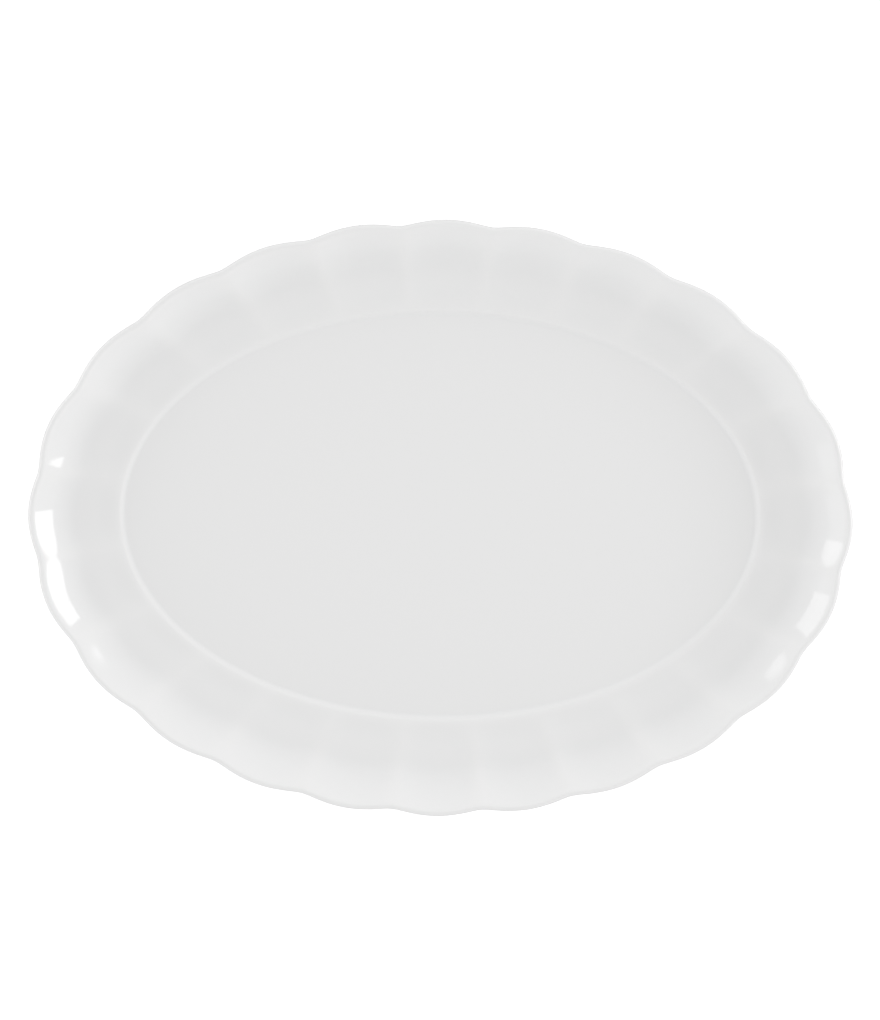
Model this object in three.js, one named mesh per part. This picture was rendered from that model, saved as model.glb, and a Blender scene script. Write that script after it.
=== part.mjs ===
// An oval china serving platter with a petalled rim, pressed, glazed and fired in one piece.
// Millimetres. +X runs along the length, +Z is up, and the origin is under the centre, on the table.
// The glazed body and the bare foot that it stands on meet at the glaze line.
import * as THREE from "three";

// Overall size
const LENGTH = 406.4;
const WIDTH = 296.6;

// The well and the step around it
const WELL_LENGTH = 315.2;
const WELL_WIDTH = 203;
const WELL_TOP = 9;
const STEP_RISE = 1.5;
const STEP_HALF_WIDTH = 1.5;

// The rim, from the step out to the petal tips. Positions across it run from 0 at the step to 1 at the tips
const RIM_WIDTH = (LENGTH - WELL_LENGTH) / 2;
const RIM_SLOPE = Math.tan(THREE.MathUtils.degToRad(8.5));
const WALL_SLOPE = Math.tan(THREE.MathUtils.degToRad(36));
const CREST_UPTURN_START = 0.37;
const PETAL_UPTURN_START = 0.47;
const UPTURN_END = 0.84;
const FLUTE_FULL = 0.25;
const FLUTE_FADE_START = 0.5;
const FLUTE_DEPTH = 1;

// The petals
const PETALS = 24;
const NOTCH_DEPTH = 2.7;
const NOTCH_START = 0.25;
const CREST_ROUNDNESS = 0.16;
const CREST_NARROWNESS = 1.5;

// The rounded lip and the wall
const LIP_RADIUS = 1.8;
const WALL_THICKNESS = 3.6;
const RIM_THICKNESS = 4.4;
const LIP_STEPS = 4;

// The foot ring, as insets from the middle of the step
const FOOT_OUTER_ROOT_INSET = 5;
const FOOT_OUTER_INSET = 7.4;
const FOOT_INNER_INSET = 11.6;
const FOOT_INNER_ROOT_INSET = 14;
const FOOT_ROOT_HEIGHT = 5;
const BASE_HEIGHT = 4.1;
const GLAZE_LINE_HEIGHT = 1.5;
const FOOT_EDGE_ROUND = 0.6;

// Fineness of the mesh
const COLUMNS_PER_PETAL = 6;
const COLUMNS = PETALS * COLUMNS_PER_PETAL;
const ARC_STEPS = 7200;

const { smoothstep, lerp } = THREE.MathUtils;

// Points at equal distances along an oval, starting on +X and going anticlockwise
function ovalPoints(length, width, count) {
  const pointAt = (angle) => new THREE.Vector2((length / 2) * Math.cos(angle), (width / 2) * Math.sin(angle));
  const travelled = [0];
  let previous = pointAt(0);
  for (let step = 1; step <= ARC_STEPS; step += 1) {
    const next = pointAt((2 * Math.PI * step) / ARC_STEPS);
    travelled.push(travelled[step - 1] + previous.distanceTo(next));
    previous = next;
  }
  const points = [];
  let step = 0;
  for (let index = 0; index < count; index += 1) {
    const target = (travelled[ARC_STEPS] * index) / count;
    while (travelled[step + 1] < target) step += 1;
    const part = (target - travelled[step]) / (travelled[step + 1] - travelled[step]);
    points.push(pointAt((2 * Math.PI * (step + part)) / ARC_STEPS));
  }
  return points;
}

const wellOval = ovalPoints(WELL_LENGTH, WELL_WIDTH, COLUMNS);
const tipOval = ovalPoints(LENGTH, WIDTH, COLUMNS);

// 1 along the middle of a petal and 0 on the crest between two petals
function petalShare(column) {
  const swing = Math.cos((Math.PI * column) / COLUMNS_PER_PETAL);
  const rounded = Math.hypot(swing, CREST_ROUNDNESS) - CREST_ROUNDNESS;
  return rounded / (Math.hypot(1, CREST_ROUNDNESS) - CREST_ROUNDNESS);
}

// Height gained by a slope that turns up smoothly from the rim's to the wall's
function upturnRise(across, start, wallSlope) {
  const turn = UPTURN_END - start;
  const part = THREE.MathUtils.clamp((across - start) / turn, 0, 1);
  const turned = turn * (part ** 3 - part ** 4 / 2) + Math.max(0, across - UPTURN_END);
  return RIM_WIDTH * (RIM_SLOPE * across + (wallSlope - RIM_SLOPE) * turned);
}

// Where the flat of the wall ends and the lip's rounding begins
const WALL_ANGLE = Math.atan(WALL_SLOPE);
const LIP_START = 1 - (LIP_RADIUS * (1 + Math.sin(WALL_ANGLE))) / RIM_WIDTH;

// The petals turn up later than the crests and more steeply, so that both reach the lip together
const crestTurn = (UPTURN_END - CREST_UPTURN_START) / 2 + LIP_START - UPTURN_END;
const petalTurn = (UPTURN_END - PETAL_UPTURN_START) / 2 + LIP_START - UPTURN_END;
const PETAL_WALL_SLOPE = RIM_SLOPE + ((WALL_SLOPE - RIM_SLOPE) * crestTurn) / petalTurn;

// Height of the rim's upper face. The crests stand up as narrower ridges than they are drawn in
function rimHeight(across, column) {
  const share = 1 - (1 - petalShare(column)) ** CREST_NARROWNESS;
  const crest = upturnRise(across, CREST_UPTURN_START, WALL_SLOPE);
  const petal = upturnRise(across, PETAL_UPTURN_START, PETAL_WALL_SLOPE);
  const grown = smoothstep(across, 0, FLUTE_FULL);
  const flute = FLUTE_DEPTH * grown * (1 - smoothstep(across, FLUTE_FADE_START, UPTURN_END));
  return WELL_TOP + STEP_RISE + lerp(crest, petal, share) - flute * share;
}

// A point across the rim, drawn in where the notches between the petals cut into it
function rimPoint(across, column, height) {
  const inner = wellOval[column];
  const outer = tipOval[column];
  const outward = outer.clone().sub(inner).normalize();
  const drawnIn = NOTCH_DEPTH * (1 - petalShare(column)) * smoothstep(across, NOTCH_START, 1);
  const place = inner.clone().lerp(outer, across).addScaledVector(outward, -drawnIn);
  return new THREE.Vector3(place.x, place.y, height);
}

function topPoint(across, column) {
  return rimPoint(across, column, rimHeight(across, column));
}

// The underside follows the upper face at the thickness of the china
function undersidePoint(across, column) {
  const nudge = 0.002;
  const gained = rimHeight(across + nudge, column) - rimHeight(across - nudge, column);
  const angle = Math.atan2(gained, 2 * nudge * RIM_WIDTH);
  const thickness = lerp(RIM_THICKNESS, WALL_THICKNESS, across);
  const outwards = across + (thickness * Math.sin(angle)) / RIM_WIDTH;
  return rimPoint(outwards, column, rimHeight(across, column) - thickness * Math.cos(angle));
}

// A half round from the wall's upper face over the lip to its underside
function lipPoint(step, column) {
  const turned = Math.PI / 2 + WALL_ANGLE - (Math.PI * step) / LIP_STEPS;
  const centreHeight = rimHeight(LIP_START, column) - LIP_RADIUS * Math.cos(WALL_ANGLE);
  const across = 1 - (LIP_RADIUS * (1 - Math.cos(turned))) / RIM_WIDTH;
  return rimPoint(across, column, centreHeight + LIP_RADIUS * Math.sin(turned));
}

// A point inside the well's oval, at an inset from the middle of the step
function insetPoint(inset, column, height) {
  const { x, y } = wellOval[column];
  const alongX = x * (1 - (2 * inset) / WELL_LENGTH);
  const alongY = y * (1 - (2 * inset) / WELL_WIDTH);
  return new THREE.Vector3(alongX, alongY, height);
}

function ring(pointAt) {
  return Array.from({ length: COLUMNS }, (unused, column) => pointAt(column));
}

// Joins rings of points into one closed skin. Open ends are closed with a fan around the centre,
// and a skin that closes on itself joins its last ring to its first
function skin(rings, closesOnItself) {
  const points = rings.flat();
  const faces = [];
  const bands = closesOnItself ? rings.length : rings.length - 1;
  for (let band = 0; band < bands; band += 1) {
    const low = band * COLUMNS;
    const high = ((band + 1) % rings.length) * COLUMNS;
    for (let column = 0; column < COLUMNS; column += 1) {
      const next = (column + 1) % COLUMNS;
      faces.push(low + column, high + column, high + next);
      faces.push(low + column, high + next, low + next);
    }
  }
  if (!closesOnItself) {
    const topCentre = points.push(new THREE.Vector3(0, 0, rings[0][0].z)) - 1;
    const baseCentre = points.push(new THREE.Vector3(0, 0, rings[rings.length - 1][0].z)) - 1;
    const lastRing = (rings.length - 1) * COLUMNS;
    for (let column = 0; column < COLUMNS; column += 1) {
      const next = (column + 1) % COLUMNS;
      faces.push(topCentre, column, next);
      faces.push(baseCentre, lastRing + next, lastRing + column);
    }
  }
  const geometry = new THREE.BufferGeometry().setFromPoints(points);
  geometry.setIndex(faces);
  geometry.computeVertexNormals();
  return geometry;
}

// Glazed body: well, step, fluted rim, lip, underside and the sides of the foot
function bodyGeometry() {
  const rimStart = STEP_HALF_WIDTH / RIM_WIDTH;
  const topPlaces = [rimStart, 0.2, 0.38, 0.51, 0.62, 0.72, 0.82, 0.89];
  const undersidePlaces = [0.87, 0.76, 0.62, 0.46, 0.25, rimStart];
  const rings = [ring((column) => insetPoint(STEP_HALF_WIDTH, column, WELL_TOP))];
  for (const across of topPlaces) rings.push(ring((column) => topPoint(across, column)));
  for (let step = 0; step <= LIP_STEPS; step += 1) rings.push(ring((column) => lipPoint(step, column)));
  for (const across of undersidePlaces) rings.push(ring((column) => undersidePoint(across, column)));
  rings.push(ring((column) => insetPoint(FOOT_OUTER_ROOT_INSET, column, FOOT_ROOT_HEIGHT)));
  rings.push(ring((column) => insetPoint(FOOT_OUTER_INSET, column, GLAZE_LINE_HEIGHT)));
  rings.push(ring((column) => insetPoint(FOOT_INNER_INSET, column, GLAZE_LINE_HEIGHT)));
  rings.push(ring((column) => insetPoint(FOOT_INNER_ROOT_INSET, column, BASE_HEIGHT)));
  return skin(rings, false);
}

// Bare foot: the unglazed edge below the glaze line, rounded over onto the face it stands on
function footGeometry() {
  const outerFlat = FOOT_OUTER_INSET + FOOT_EDGE_ROUND;
  const innerFlat = FOOT_INNER_INSET - FOOT_EDGE_ROUND;
  return skin(
    [
      ring((column) => insetPoint(FOOT_OUTER_INSET, column, GLAZE_LINE_HEIGHT)),
      ring((column) => insetPoint(FOOT_OUTER_INSET, column, FOOT_EDGE_ROUND)),
      ring((column) => insetPoint(outerFlat, column, 0)),
      ring((column) => insetPoint(innerFlat, column, 0)),
      ring((column) => insetPoint(FOOT_INNER_INSET, column, FOOT_EDGE_ROUND)),
      ring((column) => insetPoint(FOOT_INNER_INSET, column, GLAZE_LINE_HEIGHT)),
    ],
    true,
  );
}

const glaze = new THREE.MeshStandardMaterial({ color: 0xebebea, roughness: 0.12, metalness: 0 });
const bareChina = new THREE.MeshStandardMaterial({ color: 0xe4e0d8, roughness: 0.75, metalness: 0 });

const body = new THREE.Mesh(bodyGeometry(), glaze);
body.name = "platter_body";
const foot = new THREE.Mesh(footGeometry(), bareChina);
foot.name = "foot_ring";

const platter = new THREE.Group();
platter.add(body, foot);

export default platter;
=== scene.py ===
"""An oval china serving platter with a petalled rim, on a pale table in soft studio light.

The platter is one fired piece. It is drawn here as two skins that meet at the glaze line: the glazed
body, and the bare foot that it stands on. Lengths are in metres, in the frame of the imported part:
+X along the length, +Z up out of the well, and the origin on the table under the centre.
"""

import bmesh
import bpy
import logging
import math
import numpy as np

from dataclasses import dataclass
from enum import Enum
from mathutils import Matrix, Vector
from typing import Any, Iterable, Union


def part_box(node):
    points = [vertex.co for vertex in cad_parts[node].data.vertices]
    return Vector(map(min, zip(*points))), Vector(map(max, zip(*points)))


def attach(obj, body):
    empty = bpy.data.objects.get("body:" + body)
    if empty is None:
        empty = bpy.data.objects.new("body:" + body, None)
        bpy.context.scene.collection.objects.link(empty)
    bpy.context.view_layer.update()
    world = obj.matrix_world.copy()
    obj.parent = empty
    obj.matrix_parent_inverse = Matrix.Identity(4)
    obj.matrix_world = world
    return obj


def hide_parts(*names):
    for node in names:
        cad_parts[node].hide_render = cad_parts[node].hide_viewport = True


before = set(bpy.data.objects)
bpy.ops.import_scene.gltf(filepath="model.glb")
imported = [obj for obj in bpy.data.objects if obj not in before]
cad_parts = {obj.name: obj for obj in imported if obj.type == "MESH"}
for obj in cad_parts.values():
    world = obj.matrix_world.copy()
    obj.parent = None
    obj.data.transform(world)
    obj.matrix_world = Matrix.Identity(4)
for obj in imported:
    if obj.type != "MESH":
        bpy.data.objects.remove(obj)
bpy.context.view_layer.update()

log = logging.getLogger("platter")

MM = 0.001

# The attribute that tells the glaze how hollow the skin is
HOLLOW = "hollow"

# How far a point may stray and still lie on a ring: in height, and as a part of the oval's size
HEIGHT_SLACK = 0.001 * MM
OVAL_SLACK = 1e-4

# A colour Mix node's inputs and its output, by number
MIX_FIRST = 6
MIX_SECOND = 7
MIX_RESULT = 2

Number = Union[float, "Signal"]


class Slot(Enum):
    """The material slots that the pieces take their finish from."""

    GLAZE = "white_glaze"
    BARE = "bare_china"


class Node(Enum):
    """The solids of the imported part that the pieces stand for."""

    BODY = "platter_body"
    FOOT = "foot_ring"


# ---------------------------------------------------------------------------------------------------
# Finishes
# ---------------------------------------------------------------------------------------------------


class Signal:
    """A number that changes over a surface. Sums with it add the Math nodes that work it out."""

    def __init__(self, bench: "FinishBench", socket: bpy.types.NodeSocket) -> None:
        """Wraps an output socket.

        Args:
            bench: The bench that the socket's node stands on.
            socket: The output that carries the number.
        """
        self.bench = bench
        self.socket = socket

    def _with(self, operation: str, first: Number, second: Number) -> "Signal":
        """A Math node's result for two numbers."""
        return self.bench.signal("ShaderNodeMath", {"operation": operation}, {0: first, 1: second})

    def __add__(self, other: Number) -> "Signal":
        """This plus another."""
        return self._with("ADD", self, other)

    def __radd__(self, other: Number) -> "Signal":
        """Another plus this."""
        return self._with("ADD", other, self)

    def __sub__(self, other: Number) -> "Signal":
        """This less another."""
        return self._with("SUBTRACT", self, other)

    def __rsub__(self, other: Number) -> "Signal":
        """Another less this."""
        return self._with("SUBTRACT", other, self)

    def __mul__(self, other: Number) -> "Signal":
        """This times another."""
        return self._with("MULTIPLY", self, other)

    def __rmul__(self, other: Number) -> "Signal":
        """Another times this."""
        return self._with("MULTIPLY", other, self)

    def above(self, low: float, high: float) -> "Signal":
        """A smooth step.

        Args:
            low: Where the step is still 0.
            high: Where it has reached 1.

        Returns:
            0 below low, 1 above high, and a smooth rise between.
        """
        settings = {"interpolation_type": "SMOOTHSTEP"}
        sockets = {"Value": self, "From Min": low, "From Max": high}
        return self.bench.signal("ShaderNodeMapRange", settings, sockets)


class FinishBench:
    """Builds one material's nodes."""

    def __init__(self, name: str) -> None:
        """Starts a material that holds only its output and its shader.

        Args:
            name: The finish's name.
        """
        self.material = bpy.data.materials.new(name)
        self.material.use_nodes = True
        self.tree = self.material.node_tree
        self.tree.nodes.clear()
        self.shader = self.node("ShaderNodeBsdfPrincipled")
        output = self.node("ShaderNodeOutputMaterial")
        self.tree.links.new(self.shader.outputs["BSDF"], output.inputs["Surface"])

    def node(self, kind: str, settings: dict | None = None, sockets: dict | None = None) -> bpy.types.Node:
        """Adds one node.

        Args:
            kind: The node's type.
            settings: What is set on the node itself.
            sockets: A value, a link or a Signal for each input, by the input's name or number.

        Returns:
            The node.
        """
        node = self.tree.nodes.new(kind)
        for name, value in (settings or {}).items():
            setattr(node, name, value)
        self.feed(node, sockets or {})
        return node

    def feed(self, node: bpy.types.Node, sockets: dict) -> None:
        """Sets or links a node's inputs.

        Args:
            node: The node.
            sockets: A value, a link or a Signal for each input.
        """
        for name, value in sockets.items():
            if isinstance(value, Signal):
                value = value.socket
            if isinstance(value, bpy.types.NodeSocket):
                self.tree.links.new(value, node.inputs[name])
            else:
                node.inputs[name].default_value = value

    def signal(self, kind: str, settings: dict | None, sockets: dict, out: Any = 0) -> Signal:
        """Adds one node and gives one of its outputs as a number."""
        return Signal(self, self.node(kind, settings, sockets).outputs[out])

    def place(self) -> bpy.types.NodeSocket:
        """The point on the surface, in the piece's own coordinates."""
        return self.node("ShaderNodeTexCoord").outputs["Object"]

    def cloud(self, per_metre: float, detail: float = 2.0, roughness: float = 0.5) -> Signal:
        """Soft noise through the body of a piece.

        Args:
            per_metre: How many lumps there are to a metre.
            detail: How many finer layers it has.
            roughness: How strong the finer layers are.

        Returns:
            A number about 0.5.
        """
        sockets = {"Vector": self.place(), "Scale": per_metre, "Detail": detail, "Roughness": roughness}
        return self.signal("ShaderNodeTexNoise", None, sockets, "Fac")

    def tint(self, amount: Number, plain: Any, tinted: tuple) -> bpy.types.NodeSocket:
        """A colour between two.

        Args:
            amount: 0 for plain and 1 for tinted.
            plain: The first colour, or the socket that carries it.
            tinted: The second colour.

        Returns:
            The mixed colour's socket.
        """
        mix = self.node("ShaderNodeMix", {"data_type": "RGBA"}, {0: amount})
        for number, colour in ((MIX_FIRST, plain), (MIX_SECOND, tinted)):
            if isinstance(colour, bpy.types.NodeSocket):
                self.tree.links.new(colour, mix.inputs[number])
            else:
                mix.inputs[number].default_value = (*colour, 1.0)
        return mix.outputs[MIX_RESULT]

    def relief(self, height: Signal, depth: float) -> None:
        """Gives the shader a fine relief.

        Args:
            height: The relief, where 1 stands out by the depth.
            depth: How far 1 stands out, in metres.
        """
        bump = self.node("ShaderNodeBump", None, {"Strength": 1.0, "Distance": depth, "Height": height})
        self.feed(self.shader, {"Normal": bump.outputs["Normal"]})


@dataclass(frozen=True)
class WhiteGlaze:
    """A clear, glossy glaze over white china.

    It gathers a little in the hollows, where it looks cooler, and draws thin over the crests and the
    lip. Its surface holds the faint swell of glaze that has run and set. The side that faces the
    table shows a few kiln specks.
    """

    china: tuple = (0.852, 0.852, 0.851)
    pooled: tuple = (0.848, 0.849, 0.849)
    pooled_from: tuple = (0.05, 0.9)
    thinned: tuple = (0.856, 0.855, 0.854)
    thinned_from: tuple = (0.1, 0.9)
    roughness: float = 0.07
    ior: float = 1.5
    swell_per_metre: float = 34.0
    swell_depth: float = 0.045 * MM
    clouds_per_metre: float = 9.0
    speck: tuple = (0.36, 0.3, 0.24)
    speck_strength: float = 0.7
    speck_edge: tuple = (0.012, 0.03)
    speck_rarity: tuple = (0.9, 0.93)
    specks_per_metre: float = 55.0
    facing_down: tuple = (-0.6, -0.3)

    def make(self) -> bpy.types.Material:
        """Builds the material.

        Returns:
            The material.
        """
        bench = FinishBench("white_glaze")
        hollow = bench.signal("ShaderNodeAttribute", {"attribute_name": HOLLOW}, {}, "Fac")
        drift = bench.cloud(self.clouds_per_metre) - 0.5
        gathered = (hollow + drift * 0.25).above(*self.pooled_from)
        drawn = (drift * 0.15 - hollow).above(*self.thinned_from)
        colour = bench.tint(gathered, self.china, self.pooled)
        colour = bench.tint(drawn, colour, self.thinned)
        colour = bench.tint(self._specks(bench), colour, self.speck)
        dulled = bench.cloud(self.clouds_per_metre * 6.0, 4.0, 0.6)
        rough = self.roughness * (0.75 + dulled * 0.5)
        bench.feed(bench.shader, {"Base Color": colour, "Roughness": rough, "IOR": self.ior})
        bench.relief(bench.cloud(self.swell_per_metre, 1.0, 0.35), self.swell_depth)
        return bench.material

    def _specks(self, bench: FinishBench) -> Signal:
        """Small iron specks, only where the surface faces down."""
        place = bench.place()
        sockets = {"Vector": place, "Scale": self.specks_per_metre}
        cell = bench.node("ShaderNodeTexVoronoi", {"feature": "F1"}, sockets)
        near = 1.0 - Signal(bench, cell.outputs["Distance"]).above(*self.speck_edge)
        rare = bench.signal("ShaderNodeSeparateColor", None, {"Color": cell.outputs["Color"]}, "Red")
        facing = bench.node("ShaderNodeNewGeometry").outputs["Normal"]
        upward = bench.signal("ShaderNodeSeparateXYZ", None, {"Vector": facing}, "Z")
        downward = 1.0 - upward.above(*self.facing_down)
        return near * rare.above(*self.speck_rarity) * downward * self.speck_strength


@dataclass(frozen=True)
class BareChina:
    """Unglazed china: matt, faintly sandy, and greyed where it rubs on the table."""

    china: tuple = (0.72, 0.69, 0.635)
    rubbed: tuple = (0.5, 0.475, 0.44)
    rubbed_to: float = 0.5 * MM
    patch_edge: tuple = (0.42, 0.68)
    roughness: float = 0.72
    ior: float = 1.5
    grains_per_metre: float = 2600.0
    grain_depth: float = 0.03 * MM
    patches_per_metre: float = 60.0

    def make(self) -> bpy.types.Material:
        """Builds the material.

        Returns:
            The material.
        """
        bench = FinishBench("bare_china")
        grain = bench.cloud(self.grains_per_metre, 2.0, 0.6)
        patches = bench.cloud(self.patches_per_metre, 5.0, 0.65)
        height = bench.signal("ShaderNodeSeparateXYZ", None, {"Vector": bench.place()}, "Z")
        worn = (1.0 - height.above(0.0, self.rubbed_to)) * patches.above(*self.patch_edge)
        colour = bench.tint(worn * (0.45 + grain * 0.4), self.china, self.rubbed)
        rough = self.roughness + grain * 0.2 - worn * 0.12
        bench.feed(bench.shader, {"Base Color": colour, "Roughness": rough, "IOR": self.ior})
        bench.relief(grain + patches * 0.8, self.grain_depth)
        return bench.material


@dataclass(frozen=True)
class TableTop:
    """A pale, matt studio table that glows, as a table lit from under it does, so that it stays white."""

    paper: tuple = (0.86, 0.86, 0.86)
    shaded: float = 0.985
    tooth_per_metre: float = 420.0
    glow: float = 0.5
    roughness: float = 0.85

    def make(self) -> bpy.types.Material:
        """Builds the material.

        Returns:
            The material.
        """
        bench = FinishBench("table_top")
        tooth = bench.cloud(self.tooth_per_metre, 3.0, 0.6)
        colour = bench.tint(tooth, tuple(self.shaded * part for part in self.paper), self.paper)
        glow = {"Emission Color": (1.0, 1.0, 1.0, 1.0), "Emission Strength": self.glow}
        bench.feed(bench.shader, {"Base Color": colour, "Roughness": self.roughness, **glow})
        return bench.material


# ---------------------------------------------------------------------------------------------------
# Drawing ovals by hand
# ---------------------------------------------------------------------------------------------------


@dataclass(frozen=True)
class Ring:
    """One ring of points round the platter, given at the middle of its petals.

    Args:
        half_length: Half the ring's length.
        half_width: Half its width.
        height: Its height.
        drawn_in: How far the crests between the petals stand inside the petals' middles.
        raised: How far the crests stand above the petals' middles.
    """

    half_length: float
    half_width: float
    height: float
    drawn_in: float = 0.0
    raised: float = 0.0

    @property
    def slide(self) -> float:
        """How far the spokes slide towards the long sides, so that they stay evenly spaced."""
        long, wide = self.half_length**2, self.half_width**2
        return (long - wide) / (long + wide) / 4

    @property
    def petalled(self) -> bool:
        """Whether the crests stand apart from the petals on this ring."""
        return bool(self.drawn_in or self.raised)

    def bearing(self, point: Vector) -> float:
        """The bearing that a point on this ring had on its starting circle, in turns."""
        across = point.y / self.half_width / (1 + self.slide)
        along = point.x / self.half_length / (1 - self.slide)
        return math.atan2(across, along) / math.tau

    def holds(self, point: Vector) -> bool:
        """Whether a point lies on this ring before its petals are pulled."""
        level = abs(point.z - self.height) < HEIGHT_SLACK
        reach = math.hypot(point.x / self.half_length, point.y / self.half_width)
        return level and abs(reach - 1) < OVAL_SLACK


class OvalHand:
    """Draws a skin ring by ring in edit mode, from a first ring outwards."""

    def __init__(self, name: str, spokes: int, first: Ring) -> None:
        """Adds a circle and makes it the first ring.

        Args:
            name: The piece's name.
            spokes: How many points each ring has.
            first: The first ring.
        """
        bpy.ops.object.select_all(action="DESELECT")
        bpy.ops.mesh.primitive_circle_add(
            vertices=spokes, radius=1.0, fill_type="NOTHING", location=(0, 0, 0)
        )
        self.piece = bpy.context.object
        self.piece.name = name
        self.piece.data.name = name
        self.spokes = spokes
        self.rings = [first]
        bpy.ops.object.mode_set(mode="EDIT")
        bpy.ops.mesh.select_mode(type="VERT")
        bpy.ops.mesh.select_all(action="SELECT")
        self._spread(first)

    def _stretch(self, along: float, across: float) -> None:
        """Scales what is selected about the middle of the platter."""
        bpy.ops.transform.resize(value=(along, across, 1.0), center_override=(0.0, 0.0, 0.0))

    def _lift(self, height: float) -> None:
        """Moves what is selected up."""
        bpy.ops.transform.translate(value=(0.0, 0.0, height))

    def _spread(self, ring: Ring) -> None:
        """Slides a round ring's spokes to even places and spreads it to an oval."""
        self._stretch(1 - ring.slide, 1 + ring.slide)
        self._round_off()
        self._stretch(ring.half_length, ring.half_width)
        self._lift(ring.height)

    def _gather(self, ring: Ring) -> None:
        """Brings an oval ring back to a round one on the table, its spokes back in place."""
        self._lift(-ring.height)
        self._stretch(1 / ring.half_length, 1 / ring.half_width)
        self._stretch(1 / (1 - ring.slide), 1 / (1 + ring.slide))
        self._round_off()

    def _round_off(self) -> None:
        """Pushes the selected ring out to a circle one unit in radius."""
        bpy.ops.transform.tosphere(value=1.0)
        radius = sum(vert.co.length for vert in self._picked()) / self.spokes
        self._stretch(1 / radius, 1 / radius)

    def _mesh(self) -> bmesh.types.BMesh:
        """The mesh as it is being drawn."""
        return bmesh.from_edit_mesh(self.piece.data)

    def _picked(self) -> list[bmesh.types.BMVert]:
        """The points that are selected."""
        return [vert for vert in self._mesh().verts if vert.select]

    def _pick(self, numbers: Iterable[int]) -> None:
        """Selects some points, by number, and nothing else."""
        bpy.ops.mesh.select_all(action="DESELECT")
        mesh = self._mesh()
        mesh.verts.ensure_lookup_table()
        for number in numbers:
            mesh.verts[number].select_set(True)
        mesh.select_flush(True)

    def draw(self, rings: Iterable[Ring]) -> None:
        """Extrudes the last ring to each of the next ones in turn.

        Args:
            rings: The next rings.
        """
        for ring in rings:
            bpy.ops.mesh.extrude_edges_move()
            self._gather(self.rings[-1])
            self._spread(ring)
            self.rings.append(ring)

    def _ring_points(self, ring: Ring) -> dict[int, Vector]:
        """The points of one ring, found by their place: each one's number and where it is."""
        return {vert.index: vert.co.copy() for vert in self._mesh().verts if ring.holds(vert.co)}

    def join_ends(self) -> None:
        """Bridges the last ring back to the first, for a ring that has no middle."""
        self._pick([*self._ring_points(self.rings[0]), *self._ring_points(self.rings[-1])])
        bpy.ops.mesh.select_mode(type="EDGE")
        bpy.ops.mesh.bridge_edge_loops()
        bpy.ops.mesh.select_mode(type="VERT")

    def pull_petals(self, petals: int, pulls: list[tuple[float, float]]) -> None:
        """Pulls the points off the petals' middles in towards the well and up, on every petalled ring.

        Args:
            petals: How many petals there are. One is centred on +X.
            pulls: For each spoke from a petal's middle to its crest, its part of the crest's way in
                and of the crest's way up.
        """
        per_petal = self.spokes // petals
        for ring in filter(lambda each: each.petalled, self.rings):
            steps: dict[int, list[int]] = {}
            for number, point in self._ring_points(ring).items():
                spoke = round(ring.bearing(point) * self.spokes) % per_petal
                steps.setdefault(min(spoke, per_petal - spoke), []).append(number)
            for step, numbers in sorted(steps.items()):
                inward, upward = pulls[step]
                if not inward:
                    continue
                self._pick(numbers)
                inward *= ring.drawn_in
                self._stretch(1 - inward / ring.half_length, 1 - inward / ring.half_width)
                self._lift(ring.raised * upward)

    def finish(self, smooth_levels: int) -> bpy.types.Object:
        """Smooths the skin, fills its open ends and turns its faces outwards.

        Args:
            smooth_levels: How many times the skin is subdivided.

        Returns:
            The finished piece.
        """
        bpy.ops.object.mode_set(mode="OBJECT")
        smoother = self.piece.modifiers.new("smooth", "SUBSURF")
        smoother.levels = smoother.render_levels = smooth_levels
        bpy.ops.object.modifier_apply(modifier=smoother.name)
        bpy.ops.object.mode_set(mode="EDIT")
        bpy.ops.mesh.select_all(action="SELECT")
        bpy.ops.mesh.fill_holes(sides=0)
        bpy.ops.mesh.select_all(action="SELECT")
        bpy.ops.mesh.normals_make_consistent(inside=False)
        bpy.ops.object.mode_set(mode="OBJECT")
        bpy.ops.object.shade_smooth()
        return self.piece


# ---------------------------------------------------------------------------------------------------
# The platter
# ---------------------------------------------------------------------------------------------------


def smooth_step(value: float, low: float, high: float) -> float:
    """A smooth rise from 0 at low to 1 at high."""
    part = min(max((value - low) / (high - low), 0.0), 1.0)
    return part * part * (3 - 2 * part)


@dataclass
class PlatterShape:
    """The sizes that the body and the foot share.

    Args:
        half_length: Half the length, from the middle to a petal's tip.
        half_width: Half the width.
    """

    half_length: float
    half_width: float
    well_half_length: float = 157.6 * MM
    well_half_width: float = 101.5 * MM
    petals: int = 24
    spokes_per_petal: int = 12
    glaze_line: float = 1.5 * MM
    foot_outer_inset: float = 7.4 * MM
    foot_inner_inset: float = 11.6 * MM

    @property
    def rim_width(self) -> float:
        """How wide the rim is along the length, from the step to the petals' tips."""
        return self.half_length - self.well_half_length

    def out(self, distance: float, height: float, drawn_in: float = 0.0, raised: float = 0.0) -> Ring:
        """A ring at a distance outside the well's oval.

        Args:
            distance: How far outside the middle of the step, along the length. Below 0 is inside.
            height: The ring's height.
            drawn_in: How far its crests stand in.
            raised: How far its crests stand up.

        Returns:
            The ring.
        """
        across = (self.half_width - self.well_half_width) / self.rim_width if distance > 0 else 1.0
        half_width = self.well_half_width + distance * across
        return Ring(self.well_half_length + distance, half_width, height, drawn_in, raised)


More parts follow.
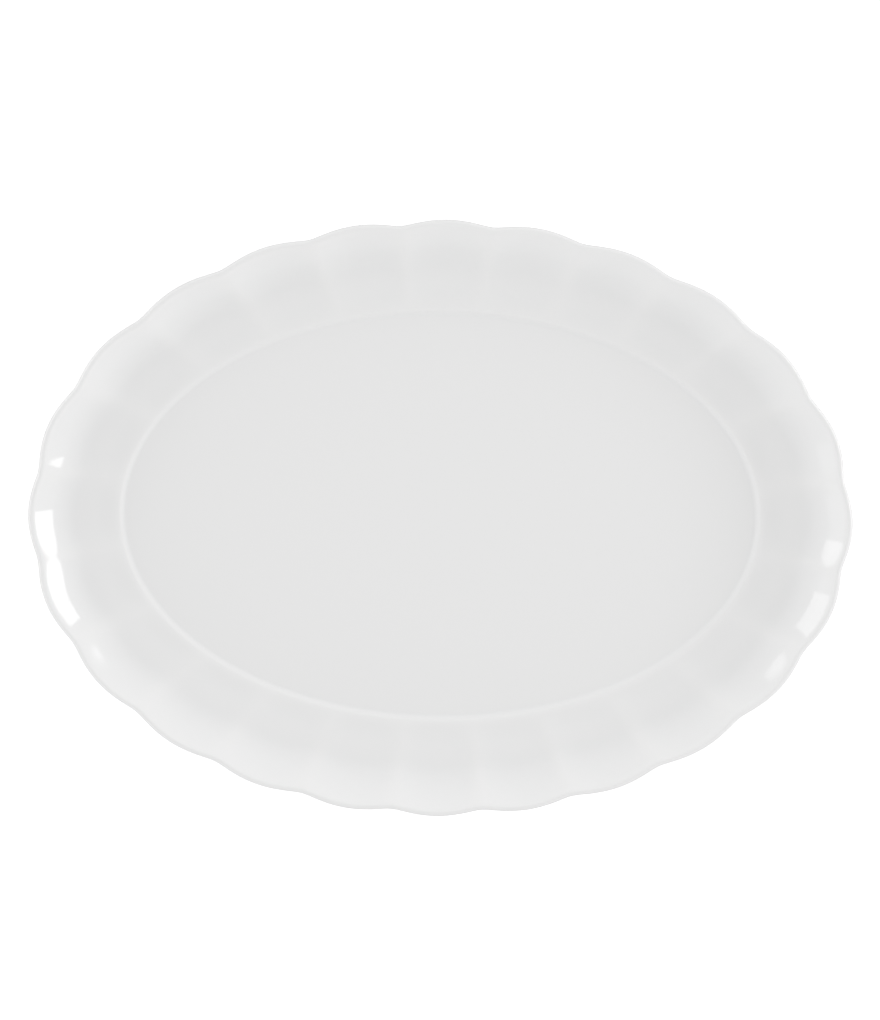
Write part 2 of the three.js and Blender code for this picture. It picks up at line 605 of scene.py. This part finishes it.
@dataclass
class PlatterBody:
    """The glazed body: well, step, fluted rim, lip, underside and the sides of the foot."""

    shape: PlatterShape
    well_top: float = 9.0 * MM
    step_rise: float = 1.5 * MM
    step_half_width: float = 1.5 * MM
    rim_slope: float = math.tan(math.radians(8.5))
    wall_slope: float = math.tan(math.radians(36))
    crest_upturn: float = 0.37
    petal_upturn: float = 0.47
    upturn_end: float = 0.84
    flute_full: float = 0.25
    flute_fade: float = 0.5
    flute_depth: float = 1.0 * MM
    notch_depth: float = 2.7 * MM
    notch_start: float = 0.25
    crest_roundness: float = 0.1
    crest_narrowness: float = 1.5
    lip_radius: float = 1.8 * MM
    wall_thickness: float = 3.6 * MM
    rim_thickness: float = 4.4 * MM
    base_height: float = 4.1 * MM
    foot_side: float = 2.8 * MM
    glaze_edge: float = 0.25 * MM
    top_rows: int = 16
    lip_rows: int = 7
    under_rows: int = 11
    relax_rounds: int = 14
    full_hollow: float = 0.12 * MM

    def pull(self, step: int) -> tuple[float, float]:
        """How far a spoke is pulled towards the crest's place.

        Args:
            step: The spoke's number from the petal's middle.

        Returns:
            Its part of the crest's way in, and of the crest's way up.
        """
        swing = math.cos(math.pi * step / self.shape.spokes_per_petal)
        rounded = math.hypot(swing, self.crest_roundness) - self.crest_roundness
        inward = 1 - rounded / (math.hypot(1, self.crest_roundness) - self.crest_roundness)
        return inward, inward**self.crest_narrowness

    @property
    def lip_start(self) -> float:
        """Where across the rim the lip's rounding begins."""
        angle = math.atan(self.wall_slope)
        return 1 - self.lip_radius * (1 + math.sin(angle)) / self.shape.rim_width

    def _rise(self, across: float, start: float, wall_slope: float) -> float:
        """Height gained across the rim by a slope that turns up smoothly.

        Args:
            across: Where across the rim, from 0 at the step to 1 at the tips.
            start: Where the slope starts to turn up.
            wall_slope: The slope that it turns up to.

        Returns:
            The height gained since the step.
        """
        turn = self.upturn_end - start
        part = min(max((across - start) / turn, 0.0), 1.0)
        turned = turn * (part**3 - part**4 / 2) + max(0.0, across - self.upturn_end)
        return self.shape.rim_width * (self.rim_slope * across + (wall_slope - self.rim_slope) * turned)

    def upper(self, across: float, crest: bool) -> float:
        """Height of the rim's upper face.

        Args:
            across: Where across the rim.
            crest: Whether it is on a crest, and not along a petal's middle.

        Returns:
            The height.
        """
        foot = self.well_top + self.step_rise
        if crest:
            return foot + self._rise(across, self.crest_upturn, self.wall_slope)
        crest_turn = (self.upturn_end - self.crest_upturn) / 2 + self.lip_start - self.upturn_end
        petal_turn = (self.upturn_end - self.petal_upturn) / 2 + self.lip_start - self.upturn_end
        steeper = self.rim_slope + (self.wall_slope - self.rim_slope) * crest_turn / petal_turn
        flute = smooth_step(across, 0.0, self.flute_full)
        flute *= 1 - smooth_step(across, self.flute_fade, self.upturn_end)
        return foot + self._rise(across, self.petal_upturn, steeper) - self.flute_depth * flute

    def _notch(self, across: float) -> float:
        """How far the crests are drawn in at a place across the rim."""
        return self.notch_depth * smooth_step(across, self.notch_start, 1.0)

    def _top_ring(self, across: float) -> Ring:
        """A ring on the rim's upper face."""
        petal, crest = self.upper(across, False), self.upper(across, True)
        return self.shape.out(across * self.shape.rim_width, petal, self._notch(across), crest - petal)

    def _under_ring(self, across: float) -> Ring:
        """A ring on the rim's underside, square through the china from the upper face."""
        nudge = 0.002
        thickness = self.rim_thickness + (self.wall_thickness - self.rim_thickness) * across
        places = []
        for crest in (False, True):
            gained = self.upper(across + nudge, crest) - self.upper(across - nudge, crest)
            angle = math.atan2(gained, 2 * nudge * self.shape.rim_width)
            out = across * self.shape.rim_width + thickness * math.sin(angle)
            places.append((out, self.upper(across, crest) - thickness * math.cos(angle)))
        (petal_out, petal_height), (crest_out, crest_height) = places
        drawn_in = self._notch(petal_out / self.shape.rim_width) + petal_out - crest_out
        return self.shape.out(petal_out, petal_height, drawn_in, crest_height - petal_height)

    def _well(self) -> list[Ring]:
        """The flat of the well, from near its middle to the foot of the step."""
        long, wide = self.shape.well_half_length, self.shape.well_half_width
        rings = [Ring(long * part, wide * part, self.well_top) for part in (0.12, 0.4, 0.7, 0.9)]
        return rings + [self.shape.out(-inset * MM, self.well_top) for inset in (5.0, 2.6)]

    def _step(self) -> list[Ring]:
        """The step from the well up to the rim, as a soft S."""
        rings = []
        for part in (-1.0, -0.5, 0.0, 0.5, 1.0):
            climbed = smooth_step(part, -1.2, 1.2)
            out = part * self.step_half_width
            rise = self.step_rise * climbed + max(out, 0.0) * self.rim_slope
            rings.append(self.shape.out(out, self.well_top + rise))
        return rings

    def _lip(self) -> list[Ring]:
        """The rounded lip, over from the wall's upper face to its underside."""
        angle = math.atan(self.wall_slope)
        centre = self.upper(self.lip_start, True) - self.lip_radius * math.cos(angle)
        rings = []
        for row in range(self.lip_rows + 1):
            turned = math.pi / 2 + angle - math.pi * row / self.lip_rows
            inside = self.lip_radius * (1 - math.cos(turned))
            out = self.shape.rim_width - inside
            height = centre + self.lip_radius * math.sin(turned)
            rings.append(self.shape.out(out, height, self._notch(out / self.shape.rim_width)))
        return rings

    def _foot_sides(self) -> list[Ring]:
        """The foot's outer side, the glaze line, its inner side and the base inside it."""
        shape, line = self.shape, self.shape.glaze_line
        outer, inner = -shape.foot_outer_inset, -shape.foot_inner_inset
        rings = [
            shape.out(-2.6 * MM, 5.9 * MM),
            shape.out(-4.6 * MM, 5.2 * MM),
            shape.out(-6.0 * MM, 4.2 * MM),
            shape.out(outer + 0.5 * MM, self.foot_side),
            shape.out(outer, line + self.glaze_edge),
            shape.out(outer - 0.1 * MM, line),
            shape.out(outer - 0.5 * MM, line),
            shape.out(inner + 0.5 * MM, line),
            shape.out(inner + 0.1 * MM, line),
            shape.out(inner, line + self.glaze_edge),
            shape.out(inner - 0.5 * MM, self.foot_side),
            shape.out(inner - 1.5 * MM, 3.7 * MM),
            shape.out(inner - 3.2 * MM, self.base_height),
        ]
        long, wide = shape.well_half_length, shape.well_half_width
        return rings + [Ring(long * part, wide * part, self.base_height) for part in (0.8, 0.5, 0.12)]

    def build(self) -> bpy.types.Object:
        """Draws the body.

        Returns:
            The finished piece.
        """
        start = self.step_half_width / self.shape.rim_width
        rows = self._well()
        hand = OvalHand("glazed_body", self.shape.petals * self.shape.spokes_per_petal, rows[0])
        hand.draw(rows[1:])
        hand.draw(self._step())
        for row in range(1, self.top_rows + 1):
            across = start + (self.lip_start - start) * row / (self.top_rows + 0.6)
            hand.draw([self._top_ring(across)])
        hand.draw(self._lip())
        for row in range(1, self.under_rows + 1):
            across = self.lip_start - (self.lip_start - start) * (row - 0.3) / self.under_rows
            hand.draw([self._under_ring(across)])
        hand.draw(self._foot_sides())
        pulls = [self.pull(step) for step in range(self.shape.spokes_per_petal // 2 + 1)]
        hand.pull_petals(self.shape.petals, pulls)
        piece = hand.finish(smooth_levels=1)
        self._mark_hollows(piece)
        return piece

    def _mark_hollows(self, piece: bpy.types.Object) -> None:
        """Stores how hollow the skin is at each point, for the glaze to gather in.

        Args:
            piece: The finished body.
        """
        mesh = piece.data
        count = len(mesh.vertices)
        places = np.empty(count * 3)
        mesh.vertices.foreach_get("co", places)
        places = places.reshape(-1, 3)
        facing = np.empty(count * 3)
        mesh.vertices.foreach_get("normal", facing)
        ends = np.empty(len(mesh.edges) * 2, dtype=np.int64)
        mesh.edges.foreach_get("vertices", ends)
        one, other = ends.reshape(-1, 2).T
        neighbours = np.bincount(ends, minlength=count)[:, None]
        relaxed = places.copy()
        for _ in range(self.relax_rounds):
            total = np.zeros_like(relaxed)
            np.add.at(total, one, relaxed[other])
            np.add.at(total, other, relaxed[one])
            relaxed = 0.5 * relaxed + 0.5 * total / neighbours
        depth = ((relaxed - places) * facing.reshape(-1, 3)).sum(axis=1)
        hollow = mesh.attributes.new(HOLLOW, "FLOAT", "POINT")
        hollow.data.foreach_set("value", np.clip(depth / self.full_hollow, -1, 1).astype(np.float32))

    def dress(self, piece: bpy.types.Object) -> None:
        """Gives the body its glaze and its place in the frame.

        Args:
            piece: The finished body.
        """
        piece.data.materials.append(WhiteGlaze().make())
        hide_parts(Node.BODY.value)
        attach(piece, "root")


@dataclass
class BareFoot:
    """The unglazed edge that the platter stands on, rounded over onto its flat underside."""

    shape: PlatterShape
    edge_round: float = 0.6 * MM

    def build(self) -> bpy.types.Object:
        """Draws the foot.

        Returns:
            The finished piece.
        """
        shape, soft = self.shape, self.edge_round
        outer, inner = -shape.foot_outer_inset, -shape.foot_inner_inset
        top = shape.glaze_line
        rows = [
            shape.out(outer - 0.4 * MM, top),
            shape.out(outer - 0.12 * MM, top - 0.1 * MM),
            shape.out(outer - 0.1 * MM, soft),
            shape.out(outer - soft * 0.35, soft * 0.3),
            shape.out(outer - soft, 0.0),
            shape.out(outer - soft * 1.6, 0.0),
            shape.out(inner + soft * 1.6, 0.0),
            shape.out(inner + soft, 0.0),
            shape.out(inner + soft * 0.35, soft * 0.3),
            shape.out(inner + 0.1 * MM, soft),
            shape.out(inner + 0.12 * MM, top - 0.1 * MM),
            shape.out(inner + 0.4 * MM, top),
        ]
        hand = OvalHand("bare_foot", shape.petals * shape.spokes_per_petal, rows[0])
        hand.draw(rows[1:])
        hand.join_ends()
        return hand.finish(smooth_levels=1)

    def dress(self, piece: bpy.types.Object) -> None:
        """Gives the foot its bare china and its place in the frame.

        Args:
            piece: The finished foot.
        """
        piece.data.materials.append(BareChina().make())
        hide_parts(Node.FOOT.value)
        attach(piece, "root")


# ---------------------------------------------------------------------------------------------------
# The studio
# ---------------------------------------------------------------------------------------------------


@dataclass
class Viewpoint:
    """A camera nearly straight above the platter, a little towards its far side and its left end."""

    distance: float = 2.2
    tilt: float = math.radians(7.82)
    side_tilt: float = math.radians(-1.92)
    roll: float = 0.018
    aim: tuple = (-0.6 * MM, 3.96 * MM, 15.0 * MM)
    lens: float = 157.2

    def set_up(self) -> None:
        """Places the camera."""
        back = Vector((math.sin(self.side_tilt), math.sin(self.tilt), math.cos(self.tilt))).normalized()
        up = (Vector((0.0, 1.0, 0.0)) - back * back.y).normalized()
        right = up.cross(back)
        turn = Matrix((right, up, back)).transposed() @ Matrix.Rotation(self.roll, 3, "Z")
        data = bpy.data.cameras.new("viewpoint")
        data.lens = self.lens
        data.clip_end = 60.0
        camera = bpy.data.objects.new("viewpoint", data)
        bpy.context.scene.collection.objects.link(camera)
        camera.matrix_world = Matrix.Translation(Vector(self.aim) + back * self.distance) @ turn.to_4x4()
        bpy.context.scene.camera = camera


@dataclass
class Softbox:
    """A soft rectangular light that looks at the platter.

    Args:
        name: Its name.
        bearing: Where it stands round the platter, in degrees from +X towards +Y.
        elevation: How high it stands, in degrees above the table.
        distance: How far off it stands.
        size: Its width and its height.
        radiance: How bright its face is.
    """

    name: str
    bearing: float
    elevation: float
    distance: float
    size: tuple
    radiance: float

    def set_up(self) -> None:
        """Places the light. Its power follows from its face's size and brightness."""
        data = bpy.data.lights.new(self.name, "AREA")
        data.shape = "RECTANGLE"
        data.size, data.size_y = self.size
        data.energy = self.radiance * math.pi * self.size[0] * self.size[1]
        turn, lift = math.radians(self.bearing), math.radians(self.elevation)
        back = Vector((math.cos(turn) * math.cos(lift), math.sin(turn) * math.cos(lift), math.sin(lift)))
        light = bpy.data.objects.new(self.name, data)
        bpy.context.scene.collection.objects.link(light)
        facing = back.to_track_quat("Z", "Y").to_matrix().to_4x4()
        light.matrix_world = Matrix.Translation(back * self.distance) @ facing
        light.visible_camera = False


@dataclass
class Studio:
    """A pale table, a pale room and softboxes.

    Args:
        table_radius: How far the table reaches.
        table_thickness: How thick its top is.
        room: How bright the room is in a few directions, from low to high. A direction is given by
            its height, from -1 straight down to 1 straight up.
        boxes: The lights.
    """

    table_radius: float = 9.0
    table_thickness: float = 0.04
    room: tuple = (
        (-0.01, 0.6),
        (0.0, 1.39),
        (0.15, 1.25),
        (0.3, 1.05),
        (0.5, 0.97),
        (0.75, 0.88),
        (1.0, 0.53),
    )
    boxes: tuple = (
        Softbox("right_softbox", 12.0, 15.3, 1.9, (1.6, 0.37), 4.2),
        Softbox("left_softbox", 158.0, 19.5, 1.9, (1.1, 0.36), 2.2),
        Softbox("left_card", 180.0, 12.0, 2.5, (3.0, 0.8), 0.6),
    )

    def set_up(self) -> None:
        """Lays the table, lights the room and hangs the softboxes."""
        self._lay_table()
        self._light_room()
        bpy.context.scene.view_settings.view_transform = "Standard"
        for box in self.boxes:
            box.set_up()

    def _light_room(self) -> None:
        """Makes the room brightest near the table's height, as pale walls are, and dimmer over and under."""
        world = bpy.data.worlds.new("room")
        world.use_nodes = True
        tree = world.node_tree
        direction = tree.nodes.new("ShaderNodeTexCoord")
        parts = tree.nodes.new("ShaderNodeSeparateXYZ")
        rise = tree.nodes.new("ShaderNodeMapRange")
        rise.inputs["From Min"].default_value = -1.0
        ramp = tree.nodes.new("ShaderNodeValToRGB")
        stops = ramp.color_ramp.elements
        while len(stops) < len(self.room):
            stops.new(0.5)
        for stop, (height, brightness) in zip(stops, self.room):
            stop.position = (1 + height) / 2
            stop.color = (brightness, brightness, brightness, 1.0)
        tree.links.new(direction.outputs["Generated"], parts.inputs["Vector"])
        tree.links.new(parts.outputs["Z"], rise.inputs["Value"])
        tree.links.new(rise.outputs["Result"], ramp.inputs["Fac"])
        tree.links.new(ramp.outputs["Color"], tree.nodes["Background"].inputs["Color"])
        bpy.context.scene.world = world

    def _lay_table(self) -> None:
        """Models the table top: a round slab, its top at height 0.

        It is hidden from what the china reflects and gathers light from, so the pale lower half of
        the room lights the china's underside in its place.
        """
        bpy.ops.object.select_all(action="DESELECT")
        bpy.ops.mesh.primitive_circle_add(
            vertices=96, radius=self.table_radius, fill_type="NGON", location=(0, 0, 0)
        )
        table = bpy.context.object
        table.name = "table_top"
        bpy.ops.object.mode_set(mode="EDIT")
        bpy.ops.mesh.select_all(action="SELECT")
        bpy.ops.mesh.extrude_region_move(TRANSFORM_OT_translate={"value": (0, 0, -self.table_thickness)})
        bpy.ops.mesh.select_all(action="SELECT")
        bpy.ops.mesh.normals_make_consistent(inside=False)
        bpy.ops.object.mode_set(mode="OBJECT")
        table.data.materials.append(TableTop().make())
        table.visible_diffuse = table.visible_glossy = False


def report(piece: bpy.types.Object) -> None:
    """Logs a finished piece's name and size in the mesh."""
    size = ", ".join(f"{side / MM:.1f}" for side in piece.dimensions)
    log.info("%s: %d faces, %s mm", piece.name, len(piece.data.polygons), size)


def main() -> None:
    """Builds the platter and the studio round it."""
    logging.basicConfig(level=logging.INFO, format="%(name)s: %(message)s")
    _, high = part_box(Node.BODY.value)
    Viewpoint().set_up()
    shape = PlatterShape(half_length=high[0], half_width=high[1])
    for part in (PlatterBody(shape), BareFoot(shape)):
        piece = part.build()
        part.dress(piece)
        report(piece)
    Studio().set_up()


if __name__ == "__main__":
    main()
